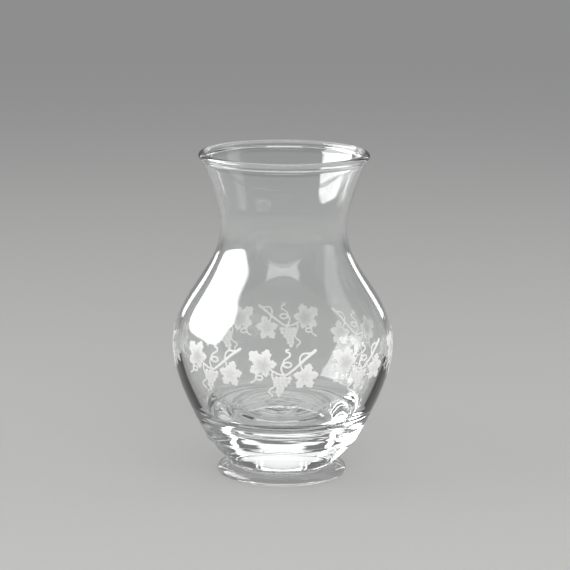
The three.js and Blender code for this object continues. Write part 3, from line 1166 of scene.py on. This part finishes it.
@dataclass(frozen=True)
class VineSprig:
    """A sprig of the band as it is drawn flat, in millimetres: x runs round to the right and y up.

    The enamel rises over a narrow edge, sinks a little into the glass, and is lower and thinner in the veins.
    Each grape is a dome: of its two shares of cover and of height, the first holds at its rim and both at its
    top. The thinner cover at the rims is painted shade: it greys the creases between the grapes.
    """

    enamel: float = 0.09
    sink: float = 0.04
    edge: float = 0.22
    fillet: float = 0.2
    tendril_fillet: float = 0.25
    leaf_rounding: float = 0.16
    leaf_middle: float = 0.6
    vein_widths: Point = (0.34, 0.16)
    vein_edge: float = 0.1
    vein_thinning: float = 0.45
    vein_dip: float = 0.5
    # Painted shade: less cover at each grape's rim greys the creases between grapes, and each top stays
    # whiter.
    grape_painted_shade: Point = (0.55, 0.45)
    grape_height: Point = (0.7, 0.75)
    loop_steps: int = 28
    pitch: float = 0.17
    lattice_low: Point = (-15.0, -11.5)
    lattice_high: Point = (14.0, 11.5)
    snap: float = 0.32
    slope_step: float = 0.01
    least_slope_squared: float = 0.25
    vine_widths: Point = (0.62, 1.12)
    tendril_width: float = 0.68
    vine: tuple[Point, ...] = (
        (-7.15, 2.7), (-5.2, 1.4), (-3.15, 0.26), (-1.4, -0.5), (0.5, -0.7),
        (2.0, 0.0), (5.8, 3.2), (8.0, 5.2), (11.6, 7.85),
    )
    leaves: tuple[Leaf, ...] = (
        Leaf(
            (-7.15, 2.7), 140, 6.9,
            (
                Lobe(0, 1.0, 0.53), Lobe(68, 0.8, 0.36), Lobe(143, 0.62, 0.42),
                Lobe(228, 0.66, 0.44), Lobe(297, 0.83, 0.58),
            ),
            0.35,
        ),
        Leaf(
            (7.85, -1.4), -60, 4.9,
            (
                Lobe(0, 1.0, 0.58), Lobe(68, 0.96, 0.6), Lobe(132, 1.0, 0.52),
                Lobe(229, 0.88, 0.58), Lobe(295, 1.02, 0.6),
            ),
            0.7,
        ),
    )
    tendrils: tuple[Tendril, ...] = (
        Tendril(
            (
                (7.85, -1.4), (6.7, 0.9), (6.2, 2.45), (5.75, 4.0),
                (6.0, 5.8), (7.15, 6.9), (8.7, 6.95), (10.3, 6.95),
            )
        ),
        Tendril(
            (
                (0.0, -0.6), (-0.75, 1.05), (-0.8, 2.3), (-0.15, 3.7), (0.1, 4.55), (1.1, 5.35),
                (2.2, 6.15), (2.05, 7.2), (1.05, 7.6), (0.85, 8.2), (1.7, 8.4),
            ),
            (1.35, 3.0), (1.4, 0.91),
        ),
        Tendril(
            (
                (-7.15, 2.7), (-8.2, 0.45), (-9.5, -0.5), (-10.0, -1.75),
                (-10.3, -3.0), (-11.1, -3.6), (-12.0, -4.1),
            ),
            (-8.75, -2.0), (1.2, 0.84),
        ),
        Tendril(
            (
                (-3.9, 0.5), (-4.1, -1.1), (-3.6, -2.7), (-3.3, -4.0), (-3.4, -5.2),
                (-4.6, -6.1), (-5.5, -6.9), (-5.2, -7.7), (-4.3, -8.3), (-4.15, -9.0),
            )
        ),
        Tendril(((0.4, -0.6), (-0.2, -2.0), (-0.6, -3.2))),
    )
    bunch: GrapeBunch = GrapeBunch()

    def lines(self, ink: Ink) -> np.ndarray:
        """The vine and its tendrils.

        Args:
            ink: the points to measure from.

        Returns:
            The distances.
        """
        widths = (self.tendril_width, self.tendril_width)
        edge = ink.line(smooth_course(self.vine), *self.vine_widths)
        for tendril in self.tendrils:
            edge = joined(edge, ink.line(smooth_course(tendril.course), *widths), self.tendril_fillet)
            if tendril.loop_centre is not None:
                loop = arc(tendril.loop_centre, tendril.loop_reach, 0, 360, self.loop_steps)
                edge = joined(edge, ink.line(loop, *widths), self.fillet)
        return edge

    def domes(self, ink: Ink) -> tuple[np.ndarray, np.ndarray]:
        """The bunch of grapes.

        Args:
            ink: the points to measure from.

        Returns:
            The distances, and how high the grapes round up, from 0 to 1.
        """
        bunch, dome = np.full(len(ink.points), np.inf), np.zeros(len(ink.points))
        for centre, radius in self.bunch.grapes():
            grape = ink.disc(centre, radius)
            bunch = np.minimum(bunch, grape)
            dome = np.maximum(dome, np.sqrt(np.clip(1 - ((grape + radius) / radius) ** 2, 0, 1)))
        return bunch, dome

    def distances(self, points: np.ndarray) -> tuple[np.ndarray, np.ndarray, np.ndarray]:
        """The print at many points.

        Args:
            points: rows of x and y.

        Returns:
            The signed distance to the print's edge, the enamel's height, and its cover from 0 to 1, lower at
            the grapes' rims as painted shade between them.
        """
        ink = Ink(points)
        edge, cover_and_painted_shade, dip = self.lines(ink), np.ones(len(points)), np.zeros(len(points))
        for leaf in self.leaves:
            edge = joined(edge, ink.outline(leaf.corners(), self.leaf_rounding), self.fillet)
            away = ink.disc(leaf.heart, 0.0) / leaf.length
            middle = np.clip(1 - away / self.leaf_middle, 0, 1)
            cover_and_painted_shade -= (1 - leaf.middle_cover) * middle * middle * (3 - 2 * middle)
            for vein in leaf.veins():
                dip = np.maximum(dip, np.clip(-ink.line(vein, *self.vein_widths) / self.vein_edge, 0, 1))
        bunch, dome = self.domes(ink)
        edge = np.minimum(edge, bunch)
        # Grapes: cover falls from the top to the rim, painted shade that greys the creases between grapes.
        shaded_rim_cover, lit_top_gain = self.grape_painted_shade
        cover_and_painted_shade = np.where(bunch < 0, shaded_rim_cover + lit_top_gain * dome, cover_and_painted_shade) - self.vein_thinning * dip
        rounded = np.clip(-edge / self.edge, 0, 1)
        height = self.enamel * np.sqrt(1 - (1 - rounded) ** 2) * (1 - self.vein_dip * dip)
        low_height, more_height = self.grape_height
        height = np.where(bunch < 0, height * (low_height + more_height * dome), height)
        return edge, height, np.clip(cover_and_painted_shade, 0, 1)

    def lattice(self) -> tuple[np.ndarray, np.ndarray]:
        """A triangle lattice that covers the print.

        Returns:
            Its points, and its triangles as rows of point numbers.
        """
        (left, low), (right, high) = self.lattice_low, self.lattice_high
        rise = self.pitch * math.sqrt(3) / 2
        columns, rows = int((right - left) / self.pitch) + 1, int((high - low) / rise) + 1
        across, up = np.meshgrid(np.arange(columns), np.arange(rows))
        points = np.c_[(left + self.pitch * (across + 0.5 * (up % 2))).ravel(), (low + rise * up).ravel()]
        corner = (up * columns + across)[:-1, :-1]
        odd = (up % 2 == 1)[:-1, :-1]
        a, b, c, d = corner, corner + 1, corner + columns, corner + columns + 1
        first = np.where(odd[..., None], np.stack([a, b, d], -1), np.stack([a, b, c], -1))
        second = np.where(odd[..., None], np.stack([a, d, c], -1), np.stack([b, d, c], -1))
        return points, np.concatenate([first.reshape(-1, 3), second.reshape(-1, 3)])

    def snapped(self, points: np.ndarray, edge: np.ndarray) -> tuple[np.ndarray, np.ndarray]:
        """Moves the lattice points nearest the print's edge onto it.

        Args:
            points: the lattice points.
            edge: their distances to the edge.

        Returns:
            The moved points and their distances, 0 for those on the edge.
        """
        near = np.abs(edge) < self.snap * self.pitch
        moved, step, here = points.copy(), self.slope_step, points[near]
        shifts = (np.array([step, 0]), np.array([0, step]))
        rises = [self.distances(here + shift)[0] - self.distances(here - shift)[0] for shift in shifts]
        slope = np.stack([rise / (2 * step) for rise in rises], -1)
        steepness = np.maximum((slope**2).sum(1), self.least_slope_squared)
        moved[near] -= edge[near, None] * slope / steepness[:, None]
        return moved, np.where(near, 0.0, edge)

    def clipped(self) -> tuple[np.ndarray, list[tuple[int, ...]]]:
        """The lattice inside the print's edge.

        Returns:
            Its points, and its triangles as point numbers.
        """
        points, triangles = self.lattice()
        points, edge = self.snapped(points, self.distances(points)[0])
        places: list[Point] = [tuple(p) for p in points]
        cuts: dict[tuple[int, int], int] = {}

        def cut(inner: int, outer: int) -> int:
            """The point where the edge crosses a lattice side, made once for both triangles at it."""
            key = (min(inner, outer), max(inner, outer))
            if key not in cuts:
                share = edge[inner] / (edge[inner] - edge[outer])
                cuts[key] = len(places)
                places.append(tuple(points[inner] + share * (points[outer] - points[inner])))
            return cuts[key]

        faces = []
        for triangle in triangles[(edge[triangles] < 0).any(1)].tolist():
            ring: list[int] = []
            for here, there in zip(triangle, (*triangle[1:], triangle[0])):
                if edge[here] <= 0:
                    ring.append(here)
                if edge[here] * edge[there] < 0:
                    ring.append(cut(here, there) if edge[here] < 0 else cut(there, here))
            faces += [(ring[0], ring[i], ring[i + 1]) for i in range(1, len(ring) - 1)]
        used = sorted({i for face in faces for i in face})
        renumber = {old: new for new, old in enumerate(used)}
        return np.array([places[i] for i in used]), [tuple(renumber[i] for i in face) for face in faces]

    def flat_mesh(self) -> bpy.types.Mesh:
        """The print as a closed mesh, still flat, in metres.

        Returns:
            The mesh, with the cover_and_painted_shade attribute on its points: the enamel's thickness, with
            painted shade at the grapes' rims.
        """
        places, faces = self.clipped()
        height, cover_and_painted_shade = self.distances(places)[1:]
        sides = {(a, b) for face in faces for a, b in zip(face, (*face[1:], face[0]))}
        rim = sorted((a, b) for a, b in sides if (b, a) not in sides)
        height[sorted({i for side in rim for i in side})] = 0.0
        count = len(places)
        top = [(x * MM, y * MM, z * MM) for (x, y), z in zip(places, height)]
        under = [(x * MM, y * MM, -self.sink * MM) for x, y in places]
        closed = [
            *faces,
            *((c + count, b + count, a + count) for a, b, c in faces),
            *((b, a, a + count, b + count) for a, b in rim),
        ]
        mesh = bpy.data.meshes.new("flat sprig")
        mesh.from_pydata([*top, *under], [], closed)
        # Enamel thickness and painted shade between grapes, for the enamel's colour.
        store(mesh, "cover_and_painted_shade", [*cover_and_painted_shade, *cover_and_painted_shade])
        mesh.update()
        return mesh


@dataclass(frozen=True)
class VineBand:
    """The eight sprigs round the body. The lowest point of each vine lies the drop below the widest part."""

    body: GlassBody
    azimuths: tuple[float, ...] = (0.6, 44.2, 88, 134, 177.7, 215.4, 266, 321.4)
    drop: float = 2.0
    reach_out: float = 60.0
    ray_metres: float = 0.1
    grain: float = 0.012
    grain_waves: float = 1800.0

    @staticmethod
    def laying_tree() -> GeometryTree:
        """The tree that lays a flat sprig on the glass, square to the wall at every point.

        Returns:
            The tree, with inputs Glass, Azimuth, Band Height, Turn Radius, Reach Out, Ray Length, Grain,
            Waves, Seed and Material.
        """
        made = GeometryTree("sprig on the wall")
        glass = made.input("Glass", InputKind.OBJECT)
        names = ("Azimuth", "Band Height", "Turn Radius", "Reach Out", "Ray Length", "Grain", "Waves", "Seed")
        azimuth, band, turn_radius, reach_out, ray_length, grain, waves, seed = map(made.input, names)
        x, y, z = made.split(made.node("GeometryNodeInputPosition").outputs[0])
        turn = made.math("ADD", azimuth, made.math("DIVIDE", x, turn_radius))
        outward = made.join(*made.ahead(turn), 0.0)
        level = made.join(0.0, 0.0, made.math("ADD", band, y))
        target = made.node("GeometryNodeObjectInfo", {"Object": glass}, transform_space="ORIGINAL")
        hit = made.node(
            "GeometryNodeRaycast",
            {
                "Target Geometry": target.outputs["Geometry"],
                "Attribute": made.node("GeometryNodeInputNormal").outputs[0],
                "Source Position": made.vector("ADD", made.vector("SCALE", outward, reach_out), level),
                "Ray Direction": made.vector("SCALE", outward, -1.0),
                "Ray Length": ray_length,
            },
            data_type="FLOAT_VECTOR",
        ).outputs
        uneven = made.swing(made.noise(hit["Hit Position"], waves, seed), grain)
        proud = made.math("GREATER_THAN", z, TINY)
        lift = made.math("ADD", z, made.math("MULTIPLY", uneven, proud))
        raised = made.vector("SCALE", made.vector("NORMALIZE", hit["Attribute"]), lift)
        place = made.vector("ADD", hit["Hit Position"], raised)
        laid = made.node("GeometryNodeSetPosition", {"Geometry": made.geometry, "Position": place})
        made.finish(laid.outputs[0])
        return made

    def build(self, sprig: VineSprig, glass: bpy.types.Object, finish: FiredEnamel) -> list[bpy.types.Object]:
        """Lays one sprig at each azimuth.

        Args:
            sprig: the flat sprig.
            glass: the finished glass that carries the band.
            finish: the enamel finish.

        Returns:
            The pieces, one in place of each CAD sprig.
        """
        tree, material, flat = self.laying_tree(), finish.material(), sprig.flat_mesh()
        pieces = []
        for number, azimuth in enumerate(self.azimuths, start=1):
            values = {
                "Glass": glass,
                "Azimuth": math.radians(azimuth),
                "Band Height": (self.body.body_height - self.drop) * MM,
                "Turn Radius": self.body.body_radius * MM,
                "Reach Out": self.reach_out * MM,
                "Ray Length": self.ray_metres,
                "Grain": self.grain * MM,
                "Waves": self.grain_waves,
                "Seed": float(number),
                "Material": material,
            }
            piece = tree.grow(f"enamel_sprig_{number}", flat.copy(), values)
            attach(piece, "root")
            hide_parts(f"vine_sprig_{number}")
            pieces.append(piece)
        return pieces


@dataclass(frozen=True)
class Softbox:
    """A rectangular lamp that faces the vase and lights surfaces. Gloss and glass see a panel in its place.

    Its distance and its sides are metres.
    """

    name: str
    azimuth: float
    elevation: float
    distance: float
    width: float
    height: float
    brightness: float

    def build(self) -> bpy.types.Object:
        """Hangs the lamp.

        Returns:
            The lamp.
        """
        data = bpy.data.lights.new(self.name, "AREA")
        data.shape = "RECTANGLE"
        data.size, data.size_y = self.width, self.height
        data.energy = self.brightness * math.pi * self.width * self.height
        lamp = bpy.data.objects.new(self.name, data)
        away = direction(self.azimuth, self.elevation)
        lamp.location = LAMP_AIM + away * self.distance
        lamp.rotation_mode = "QUATERNION"
        lamp.rotation_quaternion = away.to_track_quat("Z", "Y")
        lamp.visible_camera = lamp.visible_glossy = lamp.visible_transmission = False
        bpy.context.scene.collection.objects.link(lamp)
        return lamp


@dataclass(frozen=True)
class Panel:
    """A bright rounded rectangle of the surround, as gloss and glass see it, with a soft edge.

    Its half sizes, corner and edge are shares of its distance. It isn't seen where it is nearly side on.
    """

    azimuth: float
    elevation: float
    half_width: float
    half_height: float
    corner: float
    edge: float
    brightness: float
    side_on: float = 0.01

    def strength(self, tree: ShaderTree, heading: Socket) -> Socket:
        """How bright the panel is in each direction.

        Args:
            tree: the world's tree.
            heading: the direction that is looked in.

        Returns:
            The brightness, 0 beside the panel.
        """
        ahead = direction(self.azimuth, self.elevation)
        across = Vector((-ahead.y, ahead.x, 0)).normalized()
        axes = (ahead, across, ahead.cross(across))
        along, *sides = [tree.vector("DOT_PRODUCT", heading, axis) for axis in axes]
        beyond = []
        for side, half in zip(sides, (self.half_width, self.half_height)):
            away = tree.math("ABSOLUTE", tree.math("DIVIDE", side, tree.math("MAXIMUM", along, self.side_on)))
            beyond.append(tree.math("MAXIMUM", tree.math("SUBTRACT", away, half - self.corner), 0.0))
        reach = tree.vector("LENGTH", tree.join(*beyond, 0.0))
        inner = self.corner - self.edge
        lit = tree.ramp(reach, self.corner, inner, high=self.brightness, shape="SMOOTHSTEP")
        return tree.math("MULTIPLY", lit, tree.math("GREATER_THAN", along, self.side_on))


@dataclass(frozen=True)
class Studio:
    """Plain pale floor that runs into a pale surround, softboxes, and the panels that gloss and glass see.

    The floor's radius and the distances over which it fades into the surround are metres.
    """

    floor_radius: float = 6.0
    floor_sides: int = 96
    floor_colour: Colour = (0.47, 0.47, 0.465)
    floor_grain: FineGrain = FineGrain(size=0.0006, cloud_size=0.02, seed=1.0)
    floor_speckle: float = 0.97
    fade: Point = (0.3, 1.6)
    horizon: Colour = (0.27, 0.27, 0.275)
    zenith: Colour = (0.1, 0.1, 0.105)
    sky_rise: Point = (0.04, 0.75)
    ambient: float = 0.6
    softboxes: tuple[Softbox, ...] = (
        Softbox("left softbox", -80, 34, 0.75, 0.7, 0.46, 2.1),
        Softbox("front softbox", 15, 36, 0.9, 0.7, 0.5, 2.9),
        Softbox("right softbox", 88, 26, 0.8, 0.7, 0.46, 1.7),
    )
    panels: tuple[Panel, ...] = (
        Panel(-99, 26, 0.57, 0.4, 0.24, 0.05, 10.0),
        Panel(176, 46.5, 0.46, 0.31, 0.05, 0.03, 1.25),
        Panel(-142, 46.5, 0.16, 0.31, 0.05, 0.03, 1.25),
        Panel(180, 20, 0.7, 0.045, 0.03, 0.02, 1.25),
        Panel(180, 14, 0.7, 0.025, 0.02, 0.02, 1.25),
        Panel(0, 78, 0.3, 0.16, 0.06, 0.04, 3.5),
        Panel(150, 14, 0.06, 0.5, 0.03, 0.03, 4.0),
        Panel(-150, 14, 0.06, 0.5, 0.03, 0.03, 4.0),
        Panel(90, 22, 0.24, 0.7, 0.08, 0.08, 1.2),
    )

    def floor_material(self) -> bpy.types.Material:
        """The floor's matte colour, which runs into the surround's with distance.

        Returns:
            The material.
        """
        made, tree = new_material("pale floor")
        shade = tree.ramp(self.floor_grain.place(tree)["Grain"], low=self.floor_speckle)
        colour = tree.tint(shade, (0.0, 0.0, 0.0), self.floor_colour)
        matte = tree.node("ShaderNodeBsdfDiffuse", {"Color": colour})
        far = tree.node("ShaderNodeEmission", {"Color": (*self.horizon, 1.0)})
        away = tree.vector("LENGTH", tree.node("ShaderNodeTexCoord").outputs["Object"])
        share = tree.ramp(away, *self.fade, shape="SMOOTHERSTEP")
        both = tree.node("ShaderNodeMixShader", {0: share, 1: matte.outputs[0], 2: far.outputs[0]})
        tree.node("ShaderNodeOutputMaterial", {"Surface": both.outputs[0]})
        return made

    def build_floor(self) -> bpy.types.Object:
        """Lays the floor, a round disc.

        Returns:
            The floor.
        """
        mesh = bpy.data.meshes.new("floor")
        sides = self.floor_sides
        ring = [(x, y, 0.0) for x, y in arc((0.0, 0.0), (self.floor_radius,) * 2, 0, 360, sides)[:-1]]
        faces = [(0, i + 1, (i + 1) % sides + 1) for i in range(sides)]
        mesh.from_pydata([(0.0, 0.0, 0.0), *ring], [], faces)
        mesh.materials.append(self.floor_material())
        floor = bpy.data.objects.new("floor", mesh)
        bpy.context.scene.collection.objects.link(floor)
        return floor

    def build_world(self) -> None:
        """Surround that glass and gloss see, darker overhead, and an even light for everything else."""
        world = bpy.data.worlds.new("studio")
        bpy.context.scene.world = world
        world.use_nodes = True
        tree = ShaderTree(world.node_tree)
        heading = tree.node("ShaderNodeTexCoord").outputs["Generated"]
        share = tree.ramp(tree.split(heading)[2], *self.sky_rise, shape="SMOOTHSTEP")
        sky = tree.tint(share, self.horizon, self.zenith)
        seen = tree.node("ShaderNodeBackground", {"Color": sky, "Strength": 1.0})
        for panel in self.panels:
            glow = tree.node("ShaderNodeBackground", {"Strength": panel.strength(tree, heading)})
            seen = tree.node("ShaderNodeAddShader", {0: seen.outputs[0], 1: glow.outputs[0]})
        even = tree.node("ShaderNodeBackground", {"Color": (1.0, 1.0, 1.0, 1.0), "Strength": self.ambient})
        light = tree.node("ShaderNodeLightPath").outputs
        gloss = tree.math("MAXIMUM", light["Is Glossy Ray"], light["Is Transmission Ray"])
        shown = tree.math("MAXIMUM", light["Is Camera Ray"], gloss)
        both = tree.node("ShaderNodeMixShader", {0: shown, 1: even.outputs[0], 2: seen.outputs[0]})
        tree.node("ShaderNodeOutputWorld", {"Surface": both.outputs[0]})

    def build(self) -> None:
        """Builds the floor, the surround and the lamps."""
        self.build_floor()
        self.build_world()
        for softbox in self.softboxes:
            softbox.build()


@dataclass(frozen=True)
class PhotoCamera:
    """The camera at the photograph's place: in front, a little above, and rolled a touch.

    A pixel is given as its size in millimetres at the vase's axis, and the distance in such pixels.
    """

    elevation: float = 11.7
    distance_pixels: float = 2500.0
    pixel: float = 0.3684
    look_height: float = 70.3
    axis_left_of_middle: float = 1.8
    roll: float = 0.47

    def build(self) -> bpy.types.Object:
        """Places the camera. Its roll leans the vase's top to the right.

        Returns:
            The camera.
        """
        data = bpy.data.cameras.new("camera")
        data.sensor_width = SENSOR_WIDTH
        data.lens = self.distance_pixels / IMAGE_SIDE * SENSOR_WIDTH
        data.clip_start, data.clip_end = CLIP_RANGE
        camera = bpy.data.objects.new("camera", data)
        back = direction(0, self.elevation)
        aim = Vector((self.axis_left_of_middle * self.pixel, 0, self.look_height)) * MM
        camera.location = aim + back * self.distance_pixels * self.pixel * MM
        turn = back.to_track_quat("Z", "Y")
        turn.rotate(Quaternion(back, math.radians(self.roll)))
        camera.rotation_mode = "QUATERNION"
        camera.rotation_quaternion = turn
        bpy.context.scene.collection.objects.link(camera)
        bpy.context.scene.camera = camera
        return camera


def main() -> None:
    """Builds the studio and the vase, piece by piece."""
    logging.basicConfig(level=logging.INFO, format="%(name)s: %(message)s")
    bpy.context.scene.view_settings.view_transform = "Standard"
    PhotoCamera().build()
    Studio().build()
    body = GlassBody()
    glass = body.build(ClearGlass())
    millilitres = enclosed_volume(glass.data) / MILLILITRE
    LOG.info("%s: %d faces, %.1f ml of glass", glass.name, len(glass.data.polygons), millilitres)
    for piece in VineBand(body).build(VineSprig(), glass, FiredEnamel()):
        LOG.info("%s: %d faces", piece.name, len(piece.data.polygons))


if __name__ == "__main__":
    main()
